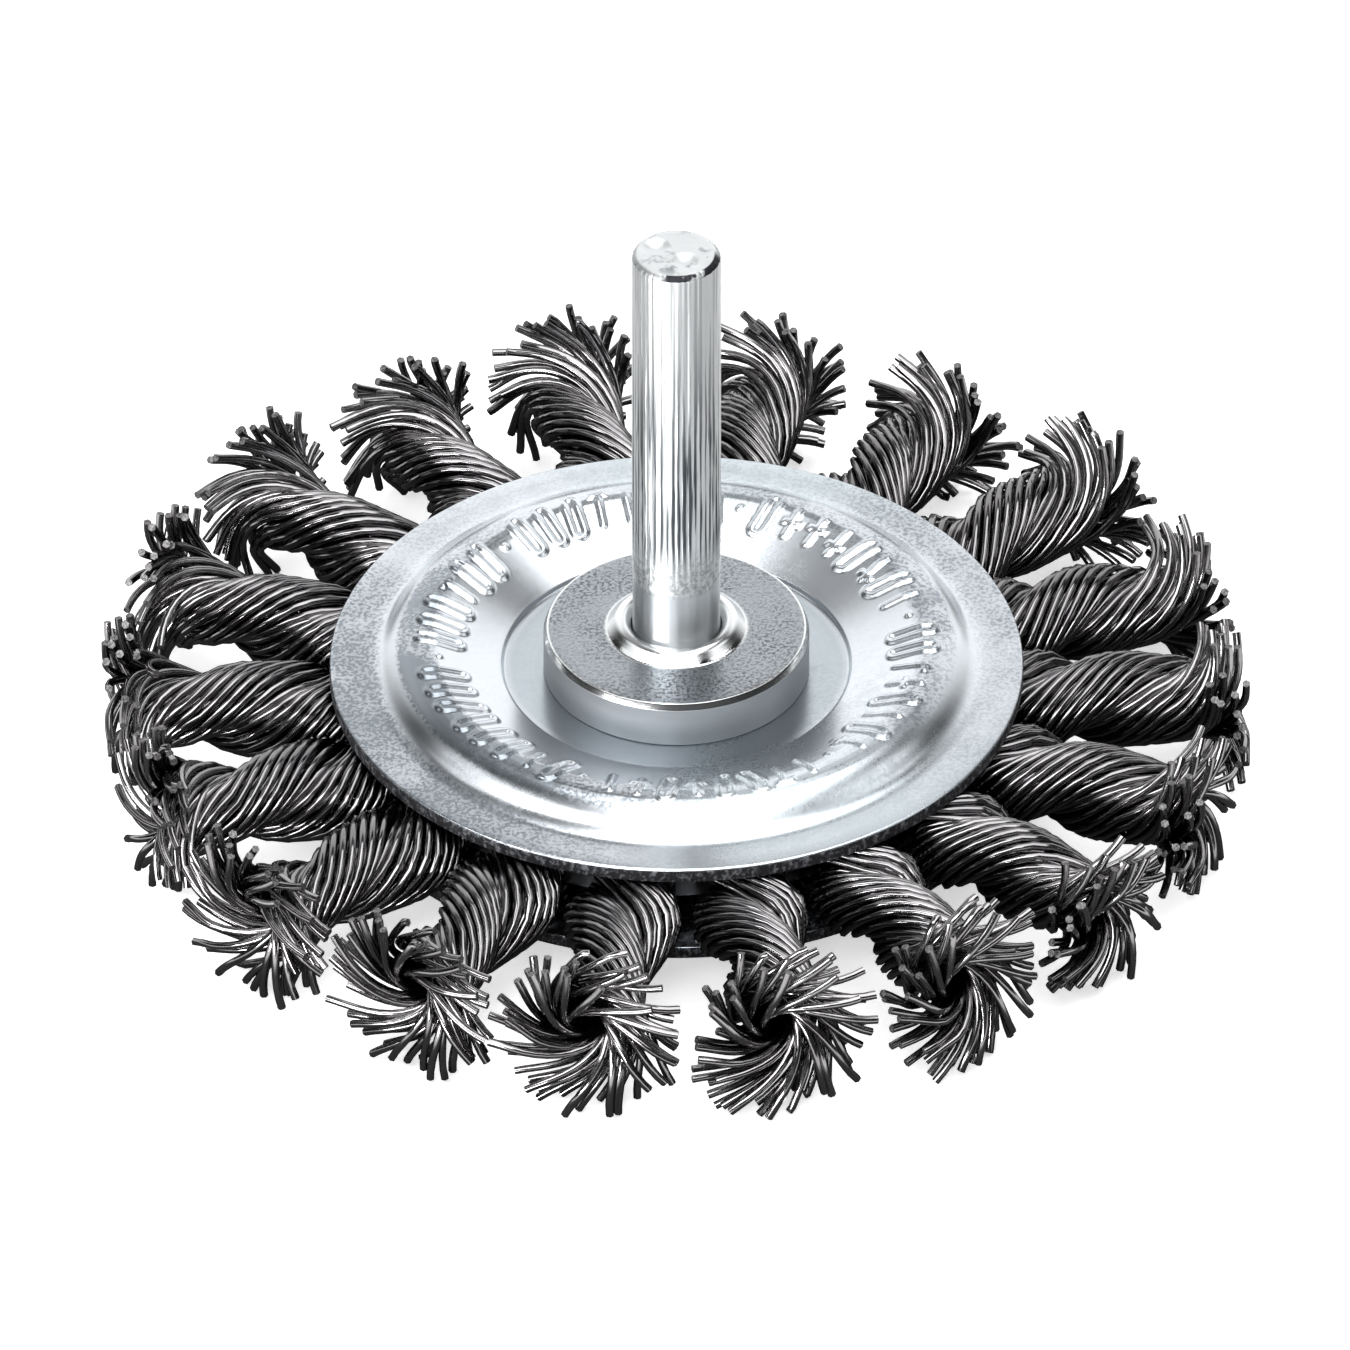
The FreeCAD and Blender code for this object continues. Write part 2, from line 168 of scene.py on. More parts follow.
def newMaterial(name):
    material = bpy.data.materials.new(name)
    material.use_nodes = True
    material.node_tree.nodes.clear()
    return material, Bench(material.node_tree)


def closeMaterial(bench, sockets):
    shader = bench.add("ShaderNodeBsdfPrincipled", {}, sockets, "BSDF")
    bench.add("ShaderNodeOutputMaterial", {}, {"Surface": shader})


def bumped(bench, height, strength, distance):
    return bench.add("ShaderNodeBump", {}, {"Height": height, "Strength": strength,
                                            "Distance": distance}, "Normal")


def objectPlace(bench, scale=(1.0, 1.0, 1.0)):  # Object coordinates, stretched
    place = bench.add("ShaderNodeTexCoord", {}, {}, "Object")
    return bench.add("ShaderNodeMapping", {"vector_type": "POINT"}, {"Vector": place, "Scale": scale})


# finishes

wireFinish = {
    "steel": (0.19, 0.185, 0.19, 1.0),
    "worn": (0.46, 0.45, 0.45, 1.0),
    "cut": (0.10, 0.098, 0.098, 1.0),
    "freshCut": (0.30, 0.295, 0.295, 1.0),
    "roughness": 0.13,
    "grain": 2600.0, "patch": 420.0,
    "cutGrain": 6000.0,
    "tips": (0.032, 0.036),  # across this distance from the axis the wires get brighter by wear
    "tipsWorn": 0.45,
}


def makeWireMaterial():
    material, bench = newMaterial("hardDrawnWire")
    place = objectPlace(bench)
    tone = bench.add("ShaderNodeAttribute", {"attribute_name": "wireTone"}, {}, "Fac")
    grain = bench.noise(place, wireFinish["grain"], 2.0)
    patch = bench.noise(place, wireFinish["patch"], 2.0).ramp(0.45, 0.75)
    x, y = bench.split(place)[:2]
    tips = (x * x + y * y).root().ramp(*wireFinish["tips"])
    worn = (tone * 0.55 + patch * 0.45 + tips * wireFinish["tipsWorn"]).between(0.0, 1.0)
    colour = bench.blendColour(worn * 0.55, wireFinish["steel"], wireFinish["worn"])
    closeMaterial(bench, {
        "Base Color": colour,
        "Metallic": 1.0,
        "Roughness": wireFinish["roughness"] + (grain - 0.5) * 0.12 + patch * 0.05,
        "Normal": bumped(bench, grain, 0.05, 0.00004)})
    return material


def makeCutMaterial():
    material, bench = newMaterial("cutWireEnd")
    place = objectPlace(bench)
    grain = bench.noise(place, wireFinish["cutGrain"], 2.0)
    colour = bench.blendColour(grain.ramp(0.35, 0.7), wireFinish["cut"], wireFinish["freshCut"])
    closeMaterial(bench, {"Base Color": colour, "Metallic": 1.0, "Roughness": 0.42 + grain * 0.25,
                          "Normal": bumped(bench, grain, 0.4, 0.00005)})
    return material


zincFinish = {
    "zinc": (0.72, 0.76, 0.80, 1.0),
    "dull": (0.56, 0.60, 0.64, 1.0),
    "tint": (0.60, 0.74, 0.77, 1.0),
    "roughness": 0.20,
    "spangle": 950.0, "speck": 3600.0, "cloud": 70.0, "drift": 34.0, "blotch": 130.0, "rings": 2400.0,
    "grey": (0.27, 0.30, 0.33, 1.0),  # painted reflection: grey patches on the flange and the ridge where dark surroundings are mirrored
    "flange": 0.0207, "seat": 0.0118, "middle": 0.0062,
    "crestFrom": (0.0160, 0.0170), "crestTo": (0.0185, 0.0192),  # the painted reflection band along the ridge
    "seatTint": (0.17, 0.25, 0.285, 1.0),
    "reflectionWay": (0.927, 0.375),  # the two sides with the painted reflection lie along this direction
    "onceMore": 0.8,  # the second side gets this share more of the painted reflection
    "crestMore": 2.2,  # and the ridge so many times as much as the flange
}


def makeZincMaterial():
    material, bench = newMaterial("brightZinc")
    place = objectPlace(bench)
    x, y, z = bench.split(place)
    spangle = bench.noise(place, zincFinish["spangle"], 4.0, 0.65)
    cloud = bench.noise(place, zincFinish["cloud"], 3.0).ramp(0.42, 0.66)
    drift = bench.noise(place, zincFinish["drift"], 2.0).ramp(0.5, 0.7)
    speck = bench.noise(place, zincFinish["speck"], 2.0, 0.6).ramp(0.44, 0.62)
    mottle = (spangle.ramp(0.42, 0.62) * 0.5 + speck * 0.6).between(0.0, 1.0)
    radius = (x * x + y * y).root()
    rings = bench.noise(bench.vector(radius, 0.0, 0.0), zincFinish["rings"], 2.0)
    colour = bench.blendColour(mottle * (0.15 + cloud * 0.5), zincFinish["zinc"], zincFinish["dull"])
    colour = bench.blendColour(drift * 0.30, colour, zincFinish["tint"])
    # painted reflection: grey patches on two sides of the flange and along the ridge, standing in for
    # dark surroundings mirrored there
    crest = radius.ramp(*zincFinish["crestFrom"]) * radius.ramp(*zincFinish["crestTo"], 1.0, 0.0)
    crest = crest * (z > zincFinish["middle"])
    paintedReflection = radius.ramp(zincFinish["flange"] - 0.0008, zincFinish["flange"])
    paintedReflection = paintedReflection.most(crest * zincFinish["crestMore"])
    sideways = (x * zincFinish["reflectionWay"][0] + y * zincFinish["reflectionWay"][1]) / radius
    paintedReflection = paintedReflection * sideways * sideways * (1.0 + (sideways < 0.0) * zincFinish["onceMore"])
    paintedReflection = paintedReflection * bench.noise(place, zincFinish["blotch"], 3.0).ramp(0.36, 0.56, 0.35, 1.0)
    paintedReflection = (paintedReflection * (0.38 + speck * 0.60)).between(0.0, 1.0)
    colour = bench.blendColour(paintedReflection, colour, zincFinish["grey"])
    seat = radius.ramp(zincFinish["seat"] - 0.0008, zincFinish["seat"] + 0.0003, 0.6, 0.0)
    colour = bench.blendColour(seat * (0.6 + drift * 0.4), colour, zincFinish["seatTint"])
    height = spangle * 0.6 * (0.3 + cloud) + rings * 0.25
    closeMaterial(bench, {
        "Base Color": colour,
        "Metallic": 1.0,
        "Roughness": zincFinish["roughness"] + mottle * 0.10 * cloud + rings * 0.06 + drift * 0.05,
        "Normal": bumped(bench, height, 0.22, 0.00006)})
    return material


edgeFinish = {"bright": (0.34, 0.35, 0.37, 1.0), "dark": (0.05, 0.05, 0.055, 1.0), "tear": 2600.0}


def makeEdgeMaterial():
    material, bench = newMaterial("shearedSheetEdge")
    place = objectPlace(bench, (1.0, 1.0, 0.8))
    tear = bench.noise(place, edgeFinish["tear"], 4.0, 0.75)
    colour = bench.blendColour(tear.ramp(0.48, 0.66), edgeFinish["dark"], edgeFinish["bright"])
    closeMaterial(bench, {"Base Color": colour, "Metallic": 0.9, "Roughness": 0.42 + tear * 0.25,
                          "Normal": bumped(bench, tear, 0.8, 0.00012)})
    return material


collarFinish = {
    "face": (0.43, 0.46, 0.49, 1.0),
    "dark": (0.13, 0.135, 0.15, 1.0),
    "side": (0.32, 0.33, 0.345, 1.0),
    "bright": (0.80, 0.82, 0.83, 1.0),
    # where each surface begins and ends, metres: topAt and bevelAt are heights, the rest
    # distances from the axis
    "topAt": (0.01268, 0.01280), "topEdge": (0.0086, 0.0089), "topFrom": (0.0044, 0.0048),
    "lipEdge": (0.0047, 0.0050), "bevelAt": (0.01238, 0.01246), "bevelFrom": (0.0086, 0.0087),
    "mottle": 4200.0, "patch": 330.0, "streaks": 3800.0,
}


def makeCollarMaterial():
    c = collarFinish
    material, bench = newMaterial("turnedCollar")
    place = objectPlace(bench)
    x, y, z = bench.split(place)
    mottle = bench.noise(place, c["mottle"], 3.0, 0.6)
    patch = bench.noise(place, c["patch"], 3.0)
    radius = (x * x + y * y).root()
    topFace = z.ramp(*c["topAt"]) * radius.ramp(*c["topEdge"], 1.0, 0.0) * radius.ramp(*c["topFrom"])
    lip = radius.ramp(*c["lipEdge"], 1.0, 0.0)
    bevel = z.ramp(*c["bevelAt"]) * radius.ramp(*c["bevelFrom"])
    grey = bench.blendColour(mottle.ramp(0.46, 0.6) * patch.ramp(0.3, 0.65, 0.25, 0.9),
                             c["face"], c["dark"])
    colour = bench.blendColour(topFace, c["side"], grey)
    colour = bench.blendColour(lip.most(bevel), colour, c["bright"])
    streaks = bench.noise(bench.vector(radius, z, 0.0), c["streaks"], 2.0)
    polished = lip * 0.34 + bevel * 0.38 + topFace * 0.32
    closeMaterial(bench, {
        "Base Color": colour,
        "Metallic": 1.0,
        "Roughness": 0.52 - polished + topFace * mottle * 0.08 + streaks * 0.06,
        "Normal": bumped(bench, mottle * topFace + streaks * 0.3, 0.4, 0.00005)})
    return material


shankFinish = {
    "bright": (0.84, 0.86, 0.87, 1.0),
    "ground": (0.56, 0.58, 0.59, 1.0),
    "groove": (0.10, 0.11, 0.12, 1.0),
    "frost": (0.40, 0.43, 0.43, 1.0),
    "drawnFrom": 0.0175,  # the drawn skin ends here, above the ground seat
    "drawnFade": 0.0044,
    "ribs": 46.0,  # drawing lines round the pin
    "paleAbove": (0.027, 0.041),  # the drawing lines and their painted reflection of the knots fade across this height
    "lines": 2500.0, "fine": 3600.0, "spots": 2300.0, "wander": 420.0,
    "stretch": 1.0,  # ground round and round, so lights smear along the shank
}


def makeShankMaterial():
    s = shankFinish
    material, bench = newMaterial("drawnShank")
    place = objectPlace(bench)
    x, y, z = bench.split(place)
    along = bench.add("ShaderNodeMapping", {"vector_type": "POINT"},
                      {"Vector": place, "Scale": (1.0, 1.0, 0.035)})
    wander = bench.noise(along, s["wander"], 2.0)
    ribs = (x.maths("ARCTAN2", y, x) * s["ribs"] + wander * 7.0).sin()
    lines = bench.noise(along, s["lines"], 3.0, 0.6) * 0.75 + 0.125 + ribs * 0.075
    fine = bench.noise(along, s["fine"], 2.0, 0.6)
    spots = bench.noise(place, s["spots"], 3.0, 0.6)
    start = s["drawnFrom"]
    drawn = z.ramp(start - 0.0003, start + 0.0002)
    frosted = drawn * z.ramp(start + 0.0012, start + s["drawnFade"], 1.0, 0.0)
    striped = drawn * (1.0 - frosted * 0.85)
    upward = z.ramp(*s["paleAbove"], 1.0, 0.25)
    # dark drawing lines: partly real lines, partly painted reflection of the knots, strongest low on the
    # shank and fading upward
    groove = lines.ramp(0.48, 0.57) * striped * upward
    colour = bench.blendColour(drawn, s["ground"], s["bright"])
    colour = bench.blendColour(groove, colour, s["groove"])
    colour = bench.blendColour(frosted * spots.ramp(0.42, 0.62) * 0.8, colour, s["frost"])
    height = lines * striped * upward + fine * striped * 0.3 + spots * (frosted * 0.6 + 0.05)
    closeMaterial(bench, {
        "Base Color": colour,
        "Metallic": 1.0,
        "Roughness": 0.34 + drawn * 0.05 + frosted * 0.10 + fine * striped * 0.12,
        "Anisotropic": s["stretch"], "Anisotropic Rotation": 0.25,
        "Normal": bumped(bench, height, 0.75, 0.00011)})
    return material


endFinish = {
    "bright": (0.74, 0.76, 0.77, 1.0),
    "grey": (0.24, 0.26, 0.27, 1.0),
    "burrShadow": (0.03, 0.03, 0.035, 1.0),
    "burrWay": (0.55, -0.83),  # the side on which the shears left a burr, and where its shadow is painted
    "burrFrom": (0.0025, 0.0026), "tornTo": (0.0018, 0.0026), "chamfer": 0.0027,
    "tear": 420.0, "broken": 900.0,
}


def makeEndMaterial():
    material, bench = newMaterial("shearedBarEnd")
    place = objectPlace(bench)
    x, y = bench.split(place)[:2]
    radius = (x * x + y * y).root()
    onBurr = ((x * endFinish["burrWay"][0] + y * endFinish["burrWay"][1]) / radius).ramp(0.40, 0.70)
    broken = bench.noise(place, endFinish["broken"], 2.0).ramp(0.32, 0.42)
    # painted shadow of the burr: a near-black crescent on the rim at one side
    burrShadow = radius.ramp(*endFinish["burrFrom"]) * onBurr * broken
    # painted shade: the rounded edge of the end is darkened all round
    rim = radius.ramp(endFinish["chamfer"] - 0.00005, endFinish["chamfer"] + 0.00005) * 0.4
    tear = bench.noise(place, endFinish["tear"], 4.0, 0.6)
    torn = tear.ramp(0.52, 0.62) * radius.ramp(*endFinish["tornTo"], 1.0, 0.4)
    colour = bench.blendColour(torn * 0.8, endFinish["bright"], endFinish["grey"])
    colour = bench.blendColour(burrShadow.most(rim), colour, endFinish["burrShadow"])
    closeMaterial(bench, {"Base Color": colour, "Metallic": 1.0, "Roughness": 0.30 + tear * 0.25,
                          "Normal": bumped(bench, tear, 0.6, 0.0002)})
    return material


# painted shade: the whole finish is kept dark because these pieces sit in the shade between the knots
# under the plates; the stain noise adds oily patches
plainFinish = {
    "steel": (0.20, 0.20, 0.21, 1.0),
    "oilyAndShaded": (0.07, 0.07, 0.075, 1.0),
    "stain": 210.0, "grain": 2200.0,
}


def makePlainMaterial():
    material, bench = newMaterial("plainSteel")
    place = objectPlace(bench)
    stain = bench.noise(place, plainFinish["stain"], 4.0)
    grain = bench.noise(place, plainFinish["grain"], 2.0)
    colour = bench.blendColour(stain.ramp(0.4, 0.7), plainFinish["steel"], plainFinish["oilyAndShaded"])
    closeMaterial(bench, {"Base Color": colour, "Metallic": 1.0, "Roughness": 0.36 + grain * 0.14,
                          "Normal": bumped(bench, grain, 0.3, 0.00004)})
    return material


wireSteel = makeWireMaterial()
cutSteel = makeCutMaterial()
brightZinc = makeZincMaterial()
shearedEdge = makeEdgeMaterial()
turnedCollar = makeCollarMaterial()
drawnShank = makeShankMaterial()
shearedEnd = makeEndMaterial()
plainSteel = makePlainMaterial()
print("finishes ready:", len(bpy.data.materials))


# shared mesh helpers

def meshObject(name, points, faces, materials, faceMaterials=None, smooth=True):
    mesh = bpy.data.meshes.new(name)
    mesh.from_pydata(points, [], faces)
    for material in materials:
        mesh.materials.append(material)
    if faceMaterials:
        mesh.polygons.foreach_set("material_index", faceMaterials)
    mesh.polygons.foreach_set("use_smooth", [smooth] * len(faces))
    mesh.update()
    piece = bpy.data.objects.new(name, mesh)
    bpy.context.scene.collection.objects.link(piece)
    return piece


def turnedPiece(name, line, around, materials, lineMaterials=None, shape=None):
    points, faces, marks = [], [], []
    starts = []
    closed = line[0] == line[-1]
    for radius, height in (line[:-1] if closed else line):
        starts.append(len(points))
        if radius < 1e-7:
            points.append((0.0, 0.0, height))
            continue
        for k in range(around):
            angle = 2 * math.pi * k / around
            r, z = shape(radius, height, angle) if shape else (radius, height)
            points.append((r * math.cos(angle), r * math.sin(angle), z))
    if closed:
        starts.append(starts[0])
    for i in range(len(line) - 1):
        a, b = starts[i], starts[i + 1]
        firstPole, lastPole = line[i][0] < 1e-7, line[i + 1][0] < 1e-7
        for k in range(around):
            n = (k + 1) % around
            if firstPole:
                faces.append((a, b + n, b + k))
            elif lastPole:
                faces.append((a + k, a + n, b))
            else:
                faces.append((a + k, a + n, b + n, b + k))
            marks.append(lineMaterials[i] if lineMaterials else 0)
    return meshObject(name, points, faces, materials, marks)


def roundedLine(corners, radii, arcSteps=6):
    line = [corners[0]]
    for i in range(1, len(corners) - 1):
        here, radius = Vector(corners[i]), radii[i - 1]
        before = (Vector(corners[i - 1]) - here).normalized()
        after = (Vector(corners[i + 1]) - here).normalized()
        if radius <= 0:
            line.append(tuple(here))
            continue
        half = before.angle(after) / 2
        reach = radius / math.tan(half)
        middle = here + (before + after).normalized() * (radius / math.sin(half))
        first, last = here + before * reach - middle, here + after * reach - middle
        turn = math.atan2(first.x * last.y - first.y * last.x, first.dot(last))
        for k in range(arcSteps + 1):
            line.append(tuple(middle + Matrix.Rotation(turn * k / arcSteps, 2) @ first))
    line.append(corners[-1])
    return line


def finer(line, step):
    fine = [line[0]]
    for a, b in zip(line, line[1:]):
        parts = max(1, math.ceil(math.dist(a, b) / step))
        fine += [(a[0] + (b[0] - a[0]) * k / parts, a[1] + (b[1] - a[1]) * k / parts)
                 for k in range(1, parts + 1)]
    return fine


def newGeometryTree(name, inputs):
    tree = bpy.data.node_groups.new(name, "GeometryNodeTree")
    tree.interface.new_socket(name="Geometry", in_out="INPUT", socket_type="NodeSocketGeometry")
    tree.interface.new_socket(name="Geometry", in_out="OUTPUT", socket_type="NodeSocketGeometry")
    for label, value in inputs.items():
        kind = "NodeSocketInt" if isinstance(value, int) else "NodeSocketFloat"
        socket = tree.interface.new_socket(name=label, in_out="INPUT", socket_type=kind)
        socket.default_value = value
    bench = Bench(tree)
    source = tree.nodes.new("NodeGroupInput")
    given = {s.name: Signal(bench, s) for s in source.outputs if s.name}
    return tree, bench, given


def closeGeometryTree(bench, geometry):
    bench.add("NodeGroupOutput", {}, {"Geometry": geometry})


def runTree(piece, tree, values):
    modifier = piece.modifiers.new(tree.name, "NODES")
    modifier.node_group = tree
    for item in tree.interface.items_tree:
        if item.in_out == "INPUT" and item.name in values:
            modifier[item.identifier] = values[item.name]
    seen = bpy.context.evaluated_depsgraph_get()
    seen.update()
    mesh = bpy.data.meshes.new_from_object(piece.evaluated_get(seen), preserve_all_data_layers=True,
                                           depsgraph=seen)
    piece.modifiers.remove(modifier)
    mesh.name = piece.name
    piece.data = mesh


def standIn(piece, slot, *nodes):
    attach(piece, "root")
    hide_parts(*nodes)


# knots: twisted tufts of wire, splayed where they are cut

knotSizes = {
    "count": 18,
    "wire": 0.58,          # wire thickness, mm
    "outerWires": 10,      # in each of the two strands
    "middleWires": 9,
    "innerWires": 6,
    "pitch": 16.6,
    "turnIn": 17.65,       # where the legs leave the hole
    "twistFrom": 20.9,
    "splayFrom": (32.6, 34.0, 35.4),
    "splayTo": (36.6, 37.6, 38.4),
    "sideways": 5.2,       # how far a wire runs on from where it leaves the twist
    "wideOpen": (11, 12, 13, 14, 15),  # knots that have opened wider than the others, from 0
    "wider": 0.9,
    "swirl": 0.75,
    "layerStep": 0.57,
    "closing": 0.45,       # the layers lie deeper towards the eye by this share
    "outwards": 38.95,     # nothing beyond this from the wheel's axis
    "halfFace": 6.2,
    "sides": 6,
    "legHeight": 2.32, "legStep": 0.48,    # the flat legs over the holed plate, layer by layer
    "halfWide": 4.15, "halfTall": 2.62,    # half the section where the legs meet
    "evensOut": 0.8,                       # taken from its width and given to its height further on
    "neck": 0.15,                          # taken from both halves before the wires part
    "holeReach": 0.75,                     # how much further back each layer starts in the hole
    "legGap": 0.62, "knotGap": 0.15,       # kept free beside the legs and beside the twist
    "tilt": 0.13,                          # the steepest slope of a knot's cut face
    "leanMore": 1.3,                       # the leans below are multiplied by this
    # from where to where along the knot each change comes in, mm from the wheel's axis
    "wideAt": (24.2, 28.2), "tallAt": (22.4, 25.6), "neckAt": (29.0, 32.6), "waistAt": (21.5, 25.0),
    "closingAt": (28.0, 33.0), "mergeAt": (20.4, 23.0), "leanAt": (24.0, 41.0), "tiltAt": (31.0, 37.0),
    # how the single wires differ: from the least to the most, mm
    "partsBy": (-0.45, 0.45), "endsBy": (-0.5, 0.35), "sidewaysBy": (-0.9, 0.4),
    "outwardBy": (-0.25, 0.45), "shorterBy": (0.3, 1.3), "strayBy": (0.3, 1.5),
    "notShorter": 0.9, "notStray": 0.94,  # the share of wires that each of the two leaves alone
    # each knot's own seed, lean across and up in mm, and change of pitch
    "own": [(11, -0.2, 0.0, 0.3), (12, -0.6, -0.4, -0.6), (13, -0.8, 0.3, 0.8), (14, -0.5, -0.3, 0.0),
            (15, -0.9, 0.0, -0.9), (16, 0.2, 0.4, 0.5), (17, -0.6, 0.2, -0.4), (18, -0.7, 0.3, 0.9),
            (19, -0.8, 0.3, -0.2), (20, -0.4, 0.5, 0.6), (21, -0.7, 0.6, -0.7), (22, -0.6, 0.2, 0.2),
            (23, 0.0, 0.2, -0.5), (24, -0.4, 0.1, 0.7), (25, -0.3, 0.0, -0.1), (26, -0.2, 0.3, 0.4),
            (27, -0.4, -0.2, -0.8), (28, -0.7, 0.2, 0.1)],
}


def knotTree():
    s = knotSizes
    tree, bench, given = newGeometryTree("twistedKnot", {
        "Wire Thickness": s["wire"] * mm, "Pitch": s["pitch"] * mm, "Swirl": s["swirl"],
        "Lean Across": 0.0, "Lean Up": 0.0, "Turn": 0.0, "Sideways": s["sideways"] * mm, "Seed": 1,
        "Outer Wires": s["outerWires"], "Middle Wires": s["middleWires"], "Inner Wires": s["innerWires"]})
    outer, middle, inner = given["Outer Wires"], given["Middle Wires"], given["Inner Wires"]
    thick = given["Wire Thickness"]
    steps = {"hole": 2, "leg": 2, "twist": 13, "splay": 10}
    last = sum(steps.values())

    # as many straight lines as there are wire ends, bent afterwards by their number
    ends = (outer + middle + inner) * 2.0
    dots = bench.add("GeometryNodeMeshLine", {"mode": "OFFSET", "count_mode": "TOTAL"},
                     {"Count": ends, "Offset": (0.0, 0.001, 0.0)})
    line = bench.add("GeometryNodeCurvePrimitiveLine", {"mode": "POINTS"}, {"End": (0.01, 0.0, 0.0)})
    line = bench.add("GeometryNodeResampleCurve", {"mode": "COUNT"}, {"Curve": line, "Count": last + 1})
    lines = bench.add("GeometryNodeInstanceOnPoints", {}, {"Points": dots, "Instance": line})
    lines = bench.add("GeometryNodeRealizeInstances", {}, {"Geometry": lines})

    number = bench.add("GeometryNodeCurveOfPoint", {}, {}, "Curve Index")
    step = bench.other(number, "Index in Curve")

    def chance(low, high, offset):
        return bench.add("FunctionNodeRandomValue", {"data_type": "FLOAT"},
                         {"Min": low, "Max": high, "ID": number, "Seed": given["Seed"] * 37.0 + offset})

    def spread(name, offset):
        return chance(s[name][0] * mm, s[name][1] * mm, offset)

    # which strand, which layer and which place in it
    strand = number % 2.0
    rank = (number / 2.0).floor()
    isMiddle = (rank > outer - 0.5) * (rank < outer + middle - 0.5)
    isInner = rank > outer + middle - 0.5
    isOuter = 1.0 - isMiddle - isInner
    layer = isMiddle + isInner * 2.0
    inLayer = rank - isMiddle * outer - isInner * (outer + middle)
    held = isOuter * outer + isMiddle * middle + isInner * inner
    around = math.pi * ((inLayer + 0.5) / held + strand)

    def byLayer(values):
        return isOuter * values[0] + isMiddle * values[1] + isInner * values[2]

    # how far along each of its four stretches a point is
    hole = (step / steps["hole"]).between(0.0, 1.0)
    leg = ((step - steps["hole"]) / steps["leg"]).between(0.0, 1.0)
    twist = ((step - steps["hole"] - steps["leg"]) / steps["twist"]).between(0.0, 1.0)
    splay = ((step - (last - steps["splay"])) / steps["splay"]).between(0.0, 1.0)

    splayFrom = byLayer([v * mm for v in s["splayFrom"]]) + spread("partsBy", 1)
    splayTo = byLayer([v * mm for v in s["splayTo"]]) + spread("endsBy", 2)
    legHeight = (s["legHeight"] - layer * s["legStep"]) * mm
    holeReach = (3.0 - layer) * s["holeReach"] * mm
    quarter = hole * (math.pi / 2)
    out = (s["turnIn"] * mm - holeReach * quarter.cos() + leg * (s["twistFrom"] - s["turnIn"]) * mm
           + twist * (splayFrom - s["twistFrom"] * mm))

    # section of the knot, and its turn about its own axis
    def past(name):  # 0 before a stretch, 1 beyond it, for where the wire runs at that moment
        return out.ramp(s[name][0] * mm, s[name][1] * mm)

    room = out * math.tan(math.pi / s["count"]) - s["knotGap"] * mm
    neck = past("neckAt") * s["neck"] * mm
    halfWide = (s["halfWide"] * mm - past("wideAt") * s["evensOut"] * mm - neck).least(room)
    halfTall = s["halfTall"] * mm + past("tallAt") * s["evensOut"] * mm - neck
    lay = (out - s["twistFrom"] * mm).maths("SMOOTH_MAX", out - s["twistFrom"] * mm, 0.0, 6.0 * mm)
    angle = around - lay * (2 * math.pi) / given["Pitch"]
    cosA, sinA = angle.cos(), angle.sin()
    outline = 1.0 / ((cosA / halfWide) * (cosA / halfWide) + (sinA / halfTall) * (sinA / halfTall)).root()
    between = abs(around.cos())
    waist = (between ** 2.0 * 0.45 + between ** 8.0 * 0.85) * past("waistAt") * mm
    closing = past("closingAt") * s["closing"] + 1.0
    inwards = layer * closing * s["layerStep"] * mm
    reach = outline - thick * 0.5 - inwards - waist * (1.0 - layer * 0.4)

    # where the wires part they swing on round the eye, then run straight on past it
    rest = 1.0 - splay
    swept = angle - given["Swirl"] * (1.0 - rest * rest)
    shorter = (chance(0.0, 1.0, 4) > s["notShorter"]) * spread("shorterBy", 5)
    tangent = (given["Sideways"] + spread("sidewaysBy", 3) - shorter) * splay ** 1.25
    outward = splay * splay * spread("outwardBy", 6)
    run = 1.0 - rest ** 2.4
    stray = (chance(0.0, 1.0, 7) > s["notStray"]) * splay * splay
    out = out + (splayTo - splayFrom) * run - stray * spread("strayBy", 8)
    roundY = (reach + outward) * swept.cos() + tangent * swept.sin()
    roundZ = (reach + outward) * swept.sin() - tangent * swept.cos()

    # the flat legs over and under the holed plate
    side = 1.0 - strand * 2.0
    legWide = out * math.tan(math.pi / s["count"]) - s["legGap"] * mm
    share = 1.0 - ((inLayer + 0.5) / held) * 2.0
    legY = legWide * share * side
    legZ = legHeight * side
    merge = past("mergeAt")
    y = legY + (roundY - legY) * merge
    z = legZ + (roundZ - legZ) * merge
    y = y * (1.0 - quarter.cos() * 0.56)
    z = z * quarter.sin()

    # each knot leans a little, and its face with it
    bend = past("leanAt") * s["leanMore"]
    tiltY, tiltZ = (bench.add("FunctionNodeRandomValue", {"data_type": "FLOAT"},
                              {"Min": -s["tilt"], "Max": s["tilt"], "ID": given["Seed"], "Seed": k})
                    for k in (1, 2))
    out = out + (y * tiltY + z * tiltZ) * past("tiltAt")
    y = y + given["Lean Across"] * bend
    z = z + given["Lean Up"] * bend
    bound = s["halfFace"] * mm - thick * 0.52
    z = z.maths("SMOOTH_MIN", z, bound, 0.5 * mm)
    z = z.maths("SMOOTH_MAX", z, -bound, 0.5 * mm)
    rimRoom = s["outwards"] * mm - thick * 0.5
    out = out.maths("SMOOTH_MIN", out, (rimRoom * rimRoom - y * y).root(), 0.4 * mm)
    toneOfWire = chance(0.0, 1.0, 9) * chance(0.0, 1.0, 10)

